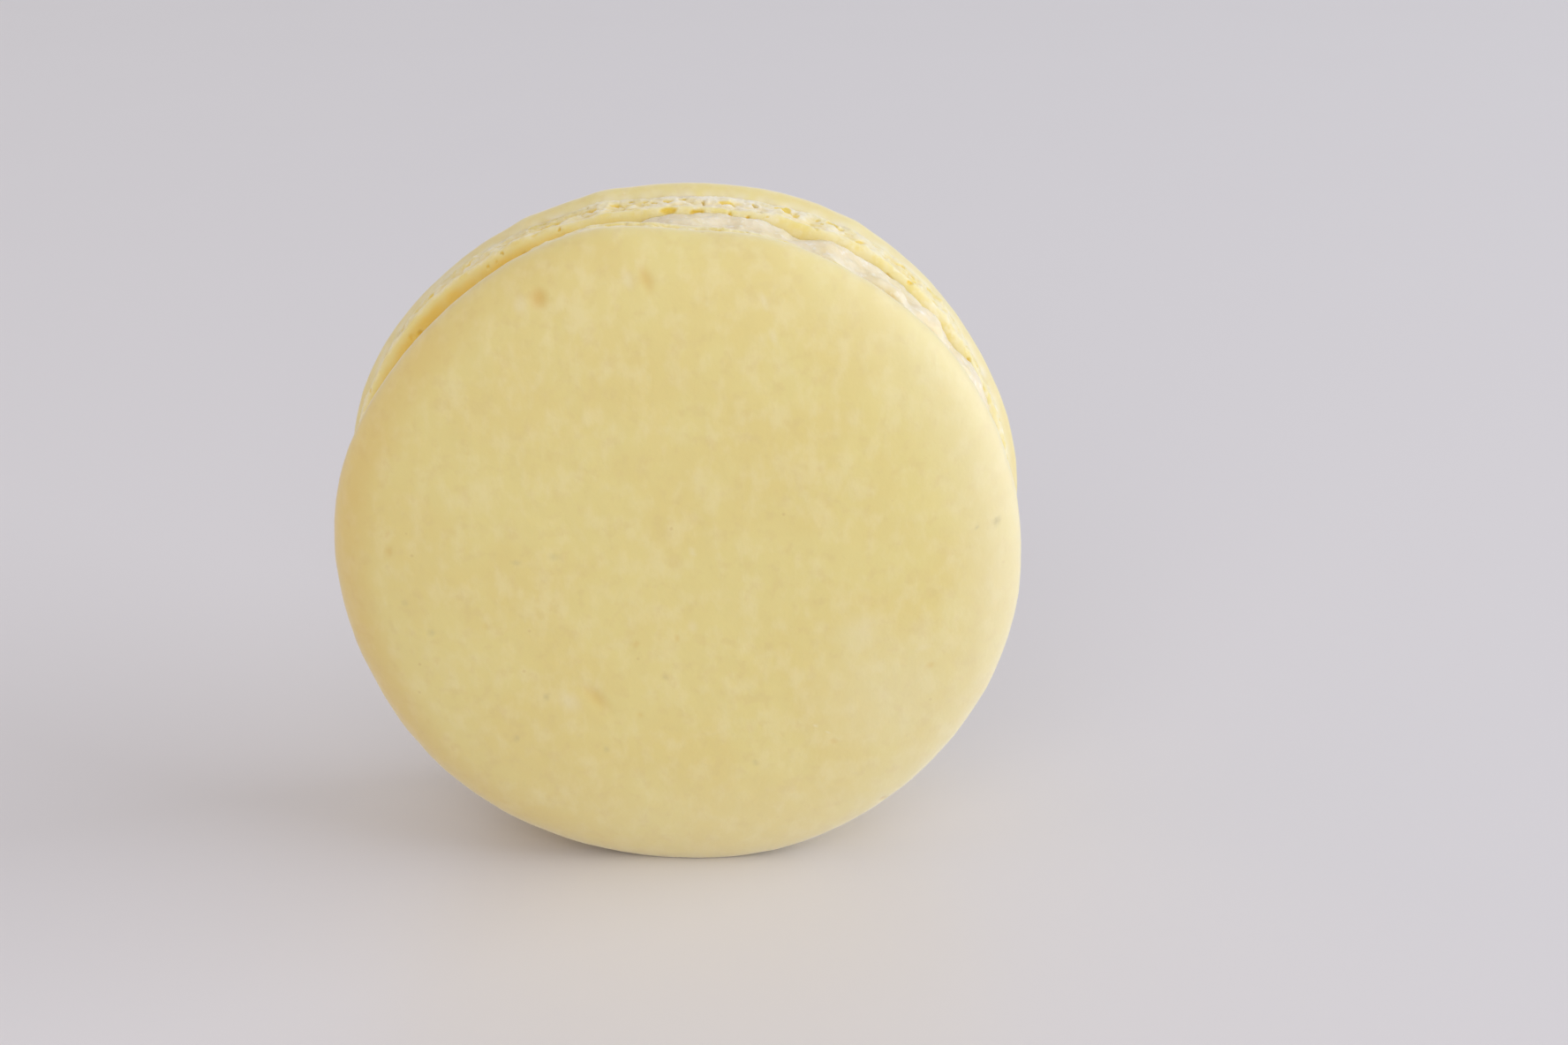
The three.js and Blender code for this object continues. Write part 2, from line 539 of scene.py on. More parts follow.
class Crumb(Enum):
    """Parts of the foot, each a number that the mesh holds at its points."""

    CAVITY_SHADE = "cavity_shade"
    INNER = "inner"
    CHALK = "chalk"


@dataclass(frozen=True)
class SkinFinish:
    """Thin satin skin of a baked almond shell, with fine mottling and flecks of almond.

    Specks have a spacing, a radius and the share of places that has one. What is called a share
    says how much of its colour comes through.
    """

    name: str = "shell_skin"
    base: str = "#E3D283"
    warm: str = "#E1CB79"
    # pale: the skin's own pale spots, and painted highlight on the lit rims and dent walls
    pale: str = "#ECE1B8"
    streak: str = "#ECDEA5"
    blush: str = "#DCC57C"
    # golden: the skin's own golden spots, and painted shade on the left rim, in dents and under the lip
    golden: str = "#D6AC46"
    grey: str = "#B1A478"
    fleck: str = "#C8A764"
    warm_patches: Mottle = Mottle(6.0, 2, 0.0, 0.4, 0.62)
    warm_share: float = 0.5
    streaks: Mottle = Mottle(1.2, 5, 0.1, 0.42, 0.76, (1.0, 1.0, 0.7))
    streak_share: float = 0.42
    streak_bump: float = 0.5
    blotches: Mottle = Mottle(1.0, 4, 0.2, 0.5, 0.74)
    blotch_share: float = 0.45
    flecks: tuple[float, float, float] = (2.4, 0.16, 0.3)
    fleck_share: float = 0.3
    pale_specks: tuple[float, float, float] = (3.7, 0.14, 0.25)
    pale_speck_share: float = 0.35
    satin: NoiseKind = (0.8, 3, 0.3)
    grain: NoiseKind = (0.45, 4, 0.4)
    grain_depth: float = 0.016

    def material(self) -> bpy.types.Material:
        """Build the skin's material.

        Returns:
            The new material.
        """
        shader = Shader(self.name, Subsurface_Weight=0.12, Subsurface_Radius=(1.0, 0.75, 0.4),
                        Subsurface_Scale=0.0015, Specular_IOR_Level=0.5, Sheen_Weight=0.5,
                        Sheen_Roughness=0.6)
        streaks = self.streaks.on(shader)
        blotches = self.blotches.on(shader)
        warm_patches = self.warm_patches.on(shader)
        colour = shader.mix(warm_patches * self.warm_share, linear(self.base), linear(self.warm))
        colour = shader.mix(streaks * self.streak_share, colour, linear(self.streak))
        colour = shader.mix(blotches * self.blotch_share, colour, linear(self.blush))
        colour = shader.mix(shader.specks(*self.flecks) * self.fleck_share, colour, linear(self.fleck))
        pale_specks = shader.specks(*self.pale_specks) * self.pale_speck_share
        colour = shader.mix(pale_specks, colour, linear(self.pale))
        # These tints hold the skin's own pale, golden and grey spots and also painted highlight and
        # painted shade.
        for tint, code in ((Tint.PALE, self.pale), (Tint.GOLDEN, self.golden), (Tint.GREY, self.grey)):
            colour = shader.mix(shader.attribute(tint.value), colour, linear(code))
        shader.set(shader.surface, "Base Color", colour)
        shader.roughen(self.satin, least=0.46, spread=0.14)
        shader.bump(shader.noise(*self.grain) + streaks * self.streak_bump, self.grain_depth)
        return shader.material


@dataclass(frozen=True)
class FootFinish:
    """Crumbly foot: whitish crumbs, pits golden as painted shade, inner face golden as baked colour and
    painted shade.
    """

    name: str = "shell_foot"
    crumb: str = "#EBDCA4"
    white: str = "#F3E9CC"
    yellow: str = "#E8D484"
    edge: str = "#E9D88F"
    # inner: the inner face's colour, partly its baked colour and partly painted shade of the gap between
    # the shells
    inner: str = "#EBCB62"
    # golden: painted shade, the colour of pits and hollows
    golden: str = "#E9C84E"
    yellow_patches: Mottle = Mottle(1.8, 3, 0.0, 0.4, 0.65)
    white_patches: Mottle = Mottle(0.7, 3, 0.1, 0.46, 0.72)
    white_share: float = 0.55
    edge_levels: tuple[float, float] = (0.0, 0.3)
    inner_levels: tuple[float, float] = (0.2, 0.9)
    dryness: NoiseKind = (0.5, 2, 0.2)
    grain: NoiseKind = (0.25, 4, 0.3)
    grain_depth: float = 0.03

    def material(self) -> bpy.types.Material:
        """Build the foot's material.

        Returns:
            The new material.
        """
        shader = Shader(self.name, Subsurface_Weight=0.45, Subsurface_Radius=(1.0, 0.95, 0.6),
                        Subsurface_Scale=0.0014, Specular_IOR_Level=0.25, Sheen_Weight=0.4,
                        Sheen_Roughness=0.6)
        inner = shader.attribute(Crumb.INNER.value)
        colour = shader.mix(self.yellow_patches.on(shader), linear(self.crumb), linear(self.yellow))
        colour = shader.mix(self.white_patches.on(shader) * self.white_share, colour, linear(self.white))
        colour = shader.mix(shader.attribute(Crumb.CHALK.value), colour, linear(self.white))
        colour = shader.mix(inner.step(*self.edge_levels), colour, linear(self.edge))
        colour = shader.mix(inner.step(*self.inner_levels), colour, linear(self.inner))
        # painted shade: pits and hollows are tinted golden
        colour = shader.mix(shader.attribute(Crumb.CAVITY_SHADE.value), colour, linear(self.golden))
        shader.set(shader.surface, "Base Color", colour)
        shader.roughen(self.dryness, least=0.6, spread=0.2)
        shader.bump(shader.noise(*self.grain), self.grain_depth)
        return shader.material


@dataclass(frozen=True)
class CreamFinish:
    """Whipped cream, a warm near white, soft and slightly moist."""

    name: str = "whipped_cream"
    base: str = "#EFE0BC"
    shade: str = "#E9D7A8"
    white: str = "#F5ECD7"
    shade_patches: Mottle = Mottle(2.2, 3, 0.0, 0.42, 0.64)
    white_patches: Mottle = Mottle(0.5, 3, 0.1, 0.55, 0.75)
    moisture: NoiseKind = (0.6, 3, 0.2)
    grain: NoiseKind = (0.3, 4, 0.3)
    grain_depth: float = 0.025

    def material(self) -> bpy.types.Material:
        """Build the cream's material.

        Returns:
            The new material.
        """
        shader = Shader(self.name, Subsurface_Weight=0.5, Subsurface_Radius=(1.0, 0.85, 0.65),
                        Subsurface_Scale=0.0018, Specular_IOR_Level=0.4)
        colour = shader.mix(self.shade_patches.on(shader), linear(self.base), linear(self.shade))
        colour = shader.mix(self.white_patches.on(shader), colour, linear(self.white))
        shader.set(shader.surface, "Base Color", colour)
        shader.roughen(self.moisture, least=0.3, spread=0.35)
        shader.bump(shader.noise(*self.grain), self.grain_depth)
        return shader.material


# ---------------------------------------------------------------- the shells


class Side(Enum):
    """Which way a shell's dome faces along the axis."""

    FRONT = -1
    BACK = 1


@dataclass(frozen=True)
class Pit:
    """A hole that a bubble left in the foot, with its angle in degrees.

    The climb runs along the surface: 0 at the edge of the flat inner face, less on that face and
    more up the wall. Its inside is tinted golden as painted shade, wholly from a given depth on.
    """

    angle: float
    climb: float
    half_width: float
    half_height: float
    depth: float
    turn: float = 0.0
    shade_depth: float = 0.13
    floor_share: float = 0.45

    def sunk(self, across: float, up: float) -> float:
        """Depth of the hole at a distance across and up from its middle."""
        away = ellipse_share(across, up, self.half_width, self.half_height, self.turn)
        return self.depth * (1 - smooth_step(away, self.floor_share, 1))


@dataclass(frozen=True)
class PitKind:
    """A kind of scattered pit: how many there are, and the ranges that their sizes come from."""

    count: int
    climb: tuple[float, float]
    half_width: tuple[float, float]
    half_height: tuple[float, float]
    depth: tuple[float, float]
    most_turn: float

    def scatter(self, draw: random.Random) -> list[Pit]:
        """Draw the pits of this kind.

        Args:
            draw: The row of random numbers that they come from.

        Returns:
            The pits.
        """
        return [
            Pit(draw.uniform(0, CIRCLE), draw.uniform(*self.climb), draw.uniform(*self.half_width),
                draw.uniform(*self.half_height), draw.uniform(*self.depth),
                draw.uniform(-self.most_turn, self.most_turn))
            for _ in range(self.count)
        ]


@dataclass
class PitMap:
    """The pits of a foot, sorted by angle, so that a point is only tested against the near ones."""

    pits: list[Pit]
    radius: float
    bins: int = 240
    near: dict[int, list[Pit]] = field(default_factory=lambda: defaultdict(list))

    def __post_init__(self) -> None:
        """Sort the pits into the bins that they reach."""
        for pit in self.pits:
            size = max(pit.half_width, pit.half_height)
            spread = math.ceil(size / self.radius * self.bins / FULL_TURN + 1)
            middle = int(pit.angle / CIRCLE * self.bins)
            for offset in range(-spread, spread + 1):
                self.near[(middle + offset) % self.bins].append(pit)

    def at(self, angle: float) -> list[Pit]:
        """The pits that can reach a point at an angle."""
        return self.near[int((angle % FULL_TURN) / FULL_TURN * self.bins) % self.bins]


@dataclass(frozen=True)
class Mark:
    """A dent or a spot on the dome, at an angle in degrees and a reach from the axis."""

    angle: float
    reach: float
    half_width: float
    half_height: float
    depth: float
    tint: Tint
    strength: float
    turn: float = 0.0

    def middle(self) -> tuple[float, float]:
        """Where its middle is, along X and Z from the axis."""
        angle = math.radians(self.angle)
        return self.reach * math.cos(angle), self.reach * math.sin(angle)

    def weight(self, dx: float, dz: float) -> float:
        """How much of the mark there is at a point.

        Args:
            dx: Distance from the mark's middle along X.
            dz: Distance from it along Z.

        Returns:
            1 in the middle, 0 from the edge on.
        """
        size = max(self.half_width, self.half_height)
        if abs(dx) > size or abs(dz) > size:
            return 0.0
        return ease(clamp(1 - ellipse_share(dx, dz, self.half_width, self.half_height, self.turn)))


@dataclass(frozen=True)
class RimTint:
    """A tint along a stretch of the rim, which grows between two shares of the radius."""

    tint: Tint
    stretch: Stretch
    start: float = 0.72
    full: float = 1.0

    def at(self, angle: float, share: float) -> float:
        """Strength of the tint at an angle and at a share of the radius."""
        return self.stretch.at(angle) * smooth_step(share, self.start, self.full)


@dataclass(frozen=True)
class ShellSizes:
    """Sizes that both shells share, and how finely their surfaces are divided.

    The underside insets say how far behind the rim the skin's hidden rings are, and the face
    insets how far behind the wall the inner face's first ring is and its fine steps start. Each
    ring of the crease has its inset behind the foot's wall and its height above the foot's top.
    """

    inner_face: float = 1.7
    foot_height: float = 3.2
    foot_rounding: tuple[float, float] = (1.2, 0.7)
    lip: float = 0.1
    lip_radius: float = 0.12
    skirt_height: float = 1.3
    skirt_overhang: float = 0.25
    skirt_tuck: float = 0.16
    dome_rise: float = 4.3
    dome_squareness: float = 2.7
    underside_insets: tuple[float, float] = (3, 1.4)
    crease: tuple[tuple[float, float], ...] = ((0.08, 0.12), (0.35, 0.3), (3, 0.8))
    skin_segments: int = 640
    lip_steps: int = 4
    skirt_steps: int = 8
    dome_points: int = 400
    dome_spacing: float = 0.235
    foot_segments: int = 1400
    rounding_steps: int = 12
    wall_spacing: float = 0.115
    face_spacing: float = 0.2
    face_insets: tuple[float, float] = (10, 5.2)

    @property
    def foot_top(self) -> float:
        """Distance along the axis where the skin starts."""
        return self.inner_face + self.foot_height

    @property
    def widest(self) -> float:
        """Distance along the axis of the widest ring."""
        return self.foot_top + self.skirt_height


@dataclass(frozen=True)
class SkinRelief:
    """How uneven a skin is. Its edge is torn and pale, and golden at the very end as painted shade under
    the lip.

    The ramps of the edge start at the foot's top.
    """

    swells: Uneven = Uneven(0.05, 0.05, 9, 0)
    dimples: Uneven = Uneven(0.02, 0.04, 2.6, 1)
    grain: Uneven = Uneven(0.0, 0.02, 1.0, 2)
    edge: Ramp = Ramp(0.1, 0.9)
    torn: tuple[Uneven, ...] = (Uneven(0.0, 0.10, 1.3, 3), Uneven(0.0, 0.05, 0.45, 4))
    wavy: Uneven = Uneven(-0.06, 0.12, 2.2, 6)
    pale: Uneven = Uneven(0.5, 0.9, 0.8, 5)
    # painted shade: a golden line along the very end of the skin, where it overhangs the foot
    lip_shade_edge: Ramp = Ramp(0.12, 0.3)
    lip_shade_share: float = 0.25


@dataclass(frozen=True)
class FootRelief:
    """How torn a foot is, and where its tints lie.

    The ramps run along the climb, except where the crumb grows calm, where the foot goes under
    the skin, both of which run from the foot's top, and the dents, which run with the depth.
    """

    wall: Ramp = Ramp(0.0, 1.0)
    face: Ramp = Ramp(-6.0, -4.0)
    under_skin: Ramp = Ramp(0.0, 0.3)
    calm: Ramp = Ramp(-0.9, -0.1)
    calm_share: float = 0.55
    swells: Uneven = Uneven(0.08, 0.16, 3.0, 0)
    crags: Uneven = Uneven(0.12, 0.24, 1.2, 1)
    crumbs: Uneven = Uneven(0.042, 0.14, 0.5, 2)
    grain: Uneven = Uneven(0.0, 0.05, 0.25, 3)
    grain_on_face: float = 0.3
    face_swells: Uneven = Uneven(0.03, 0.06, 1.4, 4)
    warp_across: Uneven = Uneven(0.0, 0.24, 0.6, 5)
    warp_up: Uneven = Uneven(0.0, 0.24, 0.6, 6)
    # painted shade: the deepest hollows between the crags are tinted golden
    dents: Ramp = Ramp(0.14, 0.34)
    shaded_dents: float = 0.38
    # The inner face's gold is partly its baked colour and partly painted shade, growing deeper into the
    # gap.
    inner_gold_and_shade: Uneven = Uneven(0.9, 0.5, 1.1, 7)
    gold_and_shade_fade: Ramp = Ramp(-1.3, 0.4)
    least_gold_and_shade: float = 0.25
    chalk: Uneven = Uneven(0.5, 0.9, 1.5, 8)
    chalk_edge: Ramp = Ramp(0.3, 1.2)
    pit_kinds: tuple[PitKind, ...] = (
        PitKind(50, (2.0, 2.95), (0.2, 0.75), (0.16, 0.42), (0.16, 0.3), 35),
        PitKind(230, (0.5, 2.9), (0.08, 0.28), (0.08, 0.22), (0.08, 0.22), 60),
        PitKind(150, (-3.5, 0.3), (0.08, 0.35), (0.08, 0.25), (0.05, 0.2), 60),
    )


@dataclass
class MacaronShell:
    """One almond shell: a smooth domed skin over a crumbly foot."""

    name: str
    side: Side
    radius: float
    foot_inset: float
    rim_waves: tuple[Wave, ...]
    foot_waves: tuple[Wave, ...]
    place: Place
    seed: int
    rim_corners: tuple[Stretch, ...] = ()
    drop: float = 0.0
    dip: Stretch = Stretch(0, 1, 0)
    dip_start: float = 0.85
    rim_tints: tuple[RimTint, ...] = ()
    # Where the cream leaves the inner face bare, its golden painted shade is strongest.
    bare: Stretch = Stretch(0, 1, 0)
    chalk: Stretch = Stretch(0, 1, 0)
    marks: tuple[Mark, ...] = ()
    pits: tuple[Pit, ...] = ()
    sizes: ShellSizes = ShellSizes()
    skin_relief: SkinRelief = SkinRelief()
    foot_relief: FootRelief = FootRelief()

    @property
    def foot_radius(self) -> float:
        """Radius of the foot's wall before its waves."""
        return self.radius - self.foot_inset

    def rim(self, angle: float) -> float:
        """How far the rim stands out at an angle."""
        return sum(part.at(angle) for part in (*self.rim_waves, *self.rim_corners))

    def foot_rim(self, angle: float) -> float:
        """How far the foot stands out besides the rim at an angle."""
        return sum(wave.at(angle) for wave in self.foot_waves)

    def dipped(self, angle: float, share: float) -> float:
        """How far the dip takes the rim in, at an angle and at a share of the radius."""
        return smooth_step(share, self.dip_start, 1) * self.dip.at(angle)

    def turned_out(self, section: Section) -> Section:
        """The section on this shell's side of the middle."""
        return [(reach, self.side.value * along) for reach, along in section]

    def skin_section(self) -> Section:
        """Draw half the section of the skin.

        Returns:
            Its points, from the middle of the hidden underside to the crown.
        """
        sizes = self.sizes
        start, edge = sizes.foot_top + sizes.lip, self.radius - sizes.skirt_overhang
        under = [(0.0, start)] + [(self.radius - inset, start) for inset in sizes.underside_insets]
        lip = quarter_round(edge, start, sizes.lip_radius, sizes.lip_radius, sizes.lip_steps)
        skirt = []
        for step in range(1, sizes.skirt_steps + 1):
            share = step / sizes.skirt_steps
            along = start + sizes.lip_radius + (sizes.widest - start - sizes.lip_radius) * share
            skirt.append((self.radius - sizes.skirt_overhang * (1 - share) ** 2, along))
        dome = []
        for step in range(sizes.dome_points):
            turn = step / sizes.dome_points * QUARTER_TURN
            reach = self.radius * math.cos(turn) ** (2 / sizes.dome_squareness)
            dome.append((reach, sizes.widest + sizes.dome_rise * math.sin(turn)))
        crown = (0.0, sizes.widest + sizes.dome_rise)
        return under + lip + skirt + evenly(dome + [crown], sizes.dome_spacing)[1:]

    def foot_section(self) -> Section:
        """Draw half the section of the foot.

        Returns:
            Its points, from the middle of the inner face to the middle of the hidden top.
        """
        sizes, foot = self.sizes, self.foot_radius
        width, height = sizes.foot_rounding
        first, fine = sizes.face_insets
        flat = evenly([(foot - fine, sizes.inner_face), (foot - width, sizes.inner_face)],
                      sizes.face_spacing)
        edge = quarter_round(foot, sizes.inner_face, width, height, sizes.rounding_steps)
        wall = evenly([(foot, sizes.inner_face + height), (foot, sizes.foot_top)], sizes.wall_spacing)
        crease = [(foot - inset, sizes.foot_top + above) for inset, above in sizes.crease]
        middle = [(0.0, sizes.inner_face), (foot - first, sizes.inner_face)]
        return middle + flat + edge[1:] + wall[1:] + crease + [(0.0, crease[-1][1])]

    def build_skin(self) -> bpy.types.Object:
        """Make the domed skin with its swells, dents and marks.

        Returns:
            The finished piece.
        """
        sizes, relief, seed = self.sizes, self.skin_relief, self.seed
        body = spun(self.turned_out(self.skin_section()), sizes.skin_segments)
        layers = {tint: body.verts.layers.float.new(tint.value) for tint in Tint}
        marks = [(mark, *mark.middle()) for mark in self.marks]
        for vert in body.verts:
            at = vert.co.copy()
            reach, angle, along = math.hypot(at.x, at.z), math.atan2(at.z, at.x), abs(at.y)
            share = reach / self.radius
            tuck = self.foot_inset - self.foot_rim(angle) - sizes.skirt_overhang + sizes.skirt_tuck
            skirt = 1 - smooth_step(along, sizes.foot_top, sizes.widest)
            out = share * (self.rim(angle) - tuck * skirt) - self.dipped(angle, share)
            edge = 1 - relief.edge.at(along - sizes.foot_top)
            depth = share * relief.swells.at(at, seed) + relief.dimples.at(at, seed)
            depth += relief.grain.at(at, seed) + edge * sum(layer.at(at, seed) for layer in relief.torn)
            # painted shade: the golden line at the very end of the skin
            golden = relief.lip_shade_share * (1 - relief.lip_shade_edge.at(along - sizes.foot_top))
            tints = {Tint.GOLDEN: golden, Tint.PALE: edge * relief.pale.at(at, seed), Tint.GREY: 0.0}
            # Some rim tints and marks are painted highlight or painted shade.
            for rim_tint in self.rim_tints:
                tints[rim_tint.tint] += rim_tint.at(angle, share)
            for mark, x, z in marks:
                weight = mark.weight(at.x - x, at.z - z) if along >= sizes.widest else 0.0
                depth += mark.depth * weight
                tints[mark.tint] = max(tints[mark.tint], mark.strength * weight)
            for tint, layer in layers.items():
                vert[layer] = clamp(tints[tint])
            shift(vert, out, depth, self.side.value * edge * relief.wavy.at(at, seed))
        return self.place.finish(body, f"{self.name}_skin", self.name, "biscuit", self.drop)

    def pit_map(self) -> PitMap:
        """Gather the foot's pits.

        Returns:
            The ones placed by hand and the scattered ones, sorted by angle.
        """
        draw = random.Random(self.seed)
        scattered = [pit for kind in self.foot_relief.pit_kinds for pit in kind.scatter(draw)]
        return PitMap([*self.pits, *scattered], self.radius)

    def build_foot(self) -> bpy.types.Object:
        """Make the crumbly foot with its pits and its flat inner face.

        Returns:
            The finished piece.
        """
        sizes, relief, seed = self.sizes, self.foot_relief, self.seed
        body = spun(self.turned_out(self.foot_section()), sizes.foot_segments)
        layers = {part: body.verts.layers.float.new(part.value) for part in Crumb}
        pits = self.pit_map()
        for vert in body.verts:
            at = vert.co.copy()
            reach, angle, along = math.hypot(at.x, at.z), math.atan2(at.z, at.x), abs(at.y)
            share = reach / self.radius
            climb = (along - sizes.inner_face) + (reach - self.foot_radius)
            shown = 1 - relief.under_skin.at(along - sizes.foot_top)
            wall, face = relief.wall.at(climb) * shown, relief.face.at(climb) * shown
            calm = 1 - relief.calm_share * relief.calm.at(along - sizes.foot_top)
            depth = wall * (relief.swells.at(at, seed)
                            + calm * (relief.crags.at(at, seed) + relief.crumbs.at(at, seed)))
            depth += (relief.grain_on_face * face + wall) * relief.grain.at(at, seed)
            depth += face * (1 - wall) * relief.face_swells.at(at, seed)
            # painted shade: pits, and the deepest hollows between the crags, are tinted golden by their
            # depth
            hollow, golden = 0.0, 0.0
            if face > 0:
                across, up = relief.warp_across.at(at, seed), climb + relief.warp_up.at(at, seed)
                for pit in pits.at(angle):
                    away = turn_between(angle, math.radians(pit.angle)) * reach + across
                    sunk = pit.sunk(away, up - pit.climb)
                    hollow, golden = max(hollow, sunk), max(golden, sunk / pit.shade_depth)
            # The inner face is golden partly as its baked colour and partly as painted shade, most where
            # the cream leaves it bare.
            inner_gold_and_shade = relief.least_gold_and_shade + (1 - relief.least_gold_and_shade) * self.bare.at(angle)
            chalk = self.chalk.at(angle) * relief.chalk.at(at, seed)
            tints = {
                Crumb.CAVITY_SHADE: golden + relief.shaded_dents * relief.dents.at(depth) * wall,
                Crumb.INNER: inner_gold_and_shade * relief.inner_gold_and_shade.at(at, seed) * (1 - relief.gold_and_shade_fade.at(climb)),
                Crumb.CHALK: chalk * relief.chalk_edge.at(climb),
            }
            for part, layer in layers.items():
                vert[layer] = clamp(tints[part])
            out = share * (self.rim(angle) + self.foot_rim(angle)) - self.dipped(angle, share)
            shift(vert, out, depth + hollow * face)
        return self.place.finish(body, f"{self.name}_foot", self.name, "biscuit", self.drop)

    def build(self, skin: bpy.types.Material, foot: bpy.types.Material) -> None:
        """Make both pieces of the shell and dress them."""
        self.build_skin().data.materials.append(skin)
        self.build_foot().data.materials.append(foot)


# ---------------------------------------------------------------- the cream


@dataclass
class CreamFilling:
    """The disc of whipped cream between the shells, lumpy at its edge."""

    place: Place
    thickness: float = 3.5
    radius: float = 21.2
    bulge: float = 0.5
    bulge_power: float = 0.7
    flat_insets: tuple[float, float] = (6, 1.5)
    edge_points: int = 40
    edge_spacing: float = 0.1
    segments: int = 1200
    seed: int = 23
    gaps: tuple[Stretch, ...] = (Stretch(138, 52, 3.8), Stretch(243, 24, 1.6), Stretch(331, 17, 1.1))
    swell: Stretch = Stretch(35, 42, 0.9)
    edge: Ramp = Ramp(-2, -0.4)
    lumps: tuple[Uneven, ...] = (Uneven(0.0, 0.55, 2.8, 0), Uneven(0.0, 0.24, 1.2, 1),
                                 Uneven(0.0, 0.08, 0.5, 2), Uneven(0.0, 0.02, 0.22, 3))
    spread: Uneven = Uneven(0.10, 0.22, 2.4, 4)

    def section(self) -> Section:
        """Draw half the section of the disc.

        Returns:
            Its points, from the middle of one face to the middle of the other.
        """
        half, inside = self.thickness / 2, self.radius - self.bulge
        turns = [(step / self.edge_points - 0.5) * math.pi for step in range(self.edge_points + 1)]
        edge = [(inside + self.bulge * abs(math.cos(turn)) ** self.bulge_power, half * math.sin(turn))
                for turn in turns]
        flat = [0.0] + [inside - inset for inset in self.flat_insets]
        low, high = [(reach, -half) for reach in flat], [(reach, half) for reach in reversed(flat)]
        return low + evenly(edge, self.edge_spacing) + high

    def build(self, material: bpy.types.Material) -> None:
        """Make the cream and dress it.

        Args:
            material: The cream's material.
        """
        body = spun(self.section(), self.segments)
        for vert in body.verts:
            at = vert.co.copy()
            reach, angle = math.hypot(at.x, at.z), math.atan2(at.z, at.x)
            edge = self.edge.at(reach - self.radius)
            out = self.swell.at(angle) - sum(gap.at(angle) for gap in self.gaps)
            out += edge * sum(lump.at(at, self.seed) for lump in self.lumps)
            spread = edge * self.spread.at(at, self.seed)
            shift(vert, out * reach / self.radius, 0.0, at.y * spread)
        self.place.finish(body, "cream", "filling", "cream").data.materials.append(material)


# ---------------------------------------------------------------- studio


@dataclass(frozen=True)
class SoftLamp:
    """A square soft light, with its place and side in metres and its power in watts."""

    name: str
    place: tuple[float, float, float]
    side: float
    power: float
    colour: str

    def hang(self, target: Vector) -> None:
        """Hang the light.

        Args:
            target: The point that it looks at.
        """
        data = bpy.data.lights.new(self.name, "AREA")
        data.size = self.side
        data.energy = self.power
        data.color = linear(self.colour)[:3]
        lamp = bpy.data.objects.new(self.name, data)
        lamp.location = self.place
        lamp.rotation_euler = (target - lamp.location).to_track_quat("-Z", "Y").to_euler()
        bpy.context.scene.collection.objects.link(lamp)


@dataclass(frozen=True)
class Studio:
    """Plain pale floor, soft light and the camera, in metres and degrees."""

    floor_size: float = 8.0
    floor_colour: str = "#E0DCDA"
    floor_polish: NoiseKind = (25.0, 2, 0.0)
    sky: str = "#F7F7FF"
    sky_strength: float = 0.5
    lens: float = 60.0
    sensor: float = 36.0
    nearest: float = 0.005
    camera_place: tuple[float, float, float] = (0.00689, -0.16539, 0.08647)
    camera_pitch: float = 21.3
    target: tuple[float, float, float] = (0, 0, 0.022)
    lamps: tuple[SoftLamp, ...] = (
        SoftLamp("window", (1.0, -0.1, 0.35), 1.0, 11.0, "#E9EFFF"),
        SoftLamp("front_fill", (-0.1, -0.9, 0.45), 0.8, 3.6, "#FAF7FF"),
        SoftLamp("left_fill", (-0.9, 0.0, 0.4), 1.0, 1.5, "#FFDFBC"),
        SoftLamp("rear_fill", (0.0, 1.0, 0.45), 1.2, 0.9, "#FFFFFF"),
    )

    def build_floor(self) -> None:
        """Lay the floor."""
        body = bmesh.new()
        bmesh.ops.create_grid(body, x_segments=1, y_segments=1, size=self.floor_size / 2)
        mesh = bpy.data.meshes.new("floor")
        body.to_mesh(mesh)
        body.free()
        floor = bpy.data.objects.new("floor", mesh)
        bpy.context.scene.collection.objects.link(floor)
        shader = Shader("pale_floor", Base_Color=linear(self.floor_colour), Specular_IOR_Level=0.4)
        shader.roughen(self.floor_polish, least=0.3, spread=0.06)
        mesh.materials.append(shader.material)

    def build_sky(self) -> None:
        """Set the even light from all round."""
        world = bpy.data.worlds.new("sky")
        world.use_nodes = True
        sky = world.node_tree.nodes["Background"].inputs
        sky["Color"].default_value = linear(self.sky)
        sky["Strength"].default_value = self.sky_strength
        bpy.context.scene.world = world

    def build_camera(self) -> None:
        """Set up the camera."""
        data = bpy.data.cameras.new("camera")
        data.lens = self.lens
        data.sensor_width = self.sensor
        data.sensor_fit = "HORIZONTAL"
        data.clip_start = self.nearest
        camera = bpy.data.objects.new("camera", data)
        camera.location = self.camera_place
        camera.rotation_euler = (math.radians(90 - self.camera_pitch), 0, 0)
        bpy.context.scene.collection.objects.link(camera)
        bpy.context.scene.camera = camera

    def build(self) -> None:
        """Set up the floor, the light and the camera."""
        self.build_floor()
        self.build_sky()
        for lamp in self.lamps:
            lamp.hang(Vector(self.target))
        self.build_camera()
        bpy.context.scene.view_settings.view_transform = "Standard"


# ---------------------------------------------------------------- the macaron

